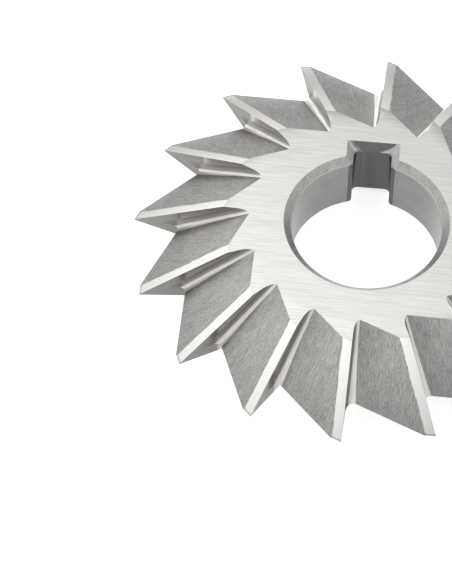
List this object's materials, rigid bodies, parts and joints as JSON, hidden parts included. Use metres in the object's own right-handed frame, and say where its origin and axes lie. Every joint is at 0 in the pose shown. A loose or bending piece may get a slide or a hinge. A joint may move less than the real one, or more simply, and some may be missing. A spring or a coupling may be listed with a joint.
{
  "type": "double-angle milling cutter",
  "caption": "Flat toothed steel disc with a keyed centre bore; each ground tooth runs out to a symmetric pointed edge that cuts V-shaped grooves.",
  "frame": {"origin": "centre of the lower hub face, on the bore axis", "axes": "+Z along the bore axis, from the lower hub face to the upper one; +Y from the bore axis to the middle of the keyway; seen from +Z the cutting edges lead counterclockwise"},
  "size_m": [0.05, 0.05, 0.0081],
  "materials": {
    "steel": "ground and brushed high speed steel, uncoated"
  },
  "bodies": {
    "root": {"cutter": "steel"}
  },
  "joints": []
}
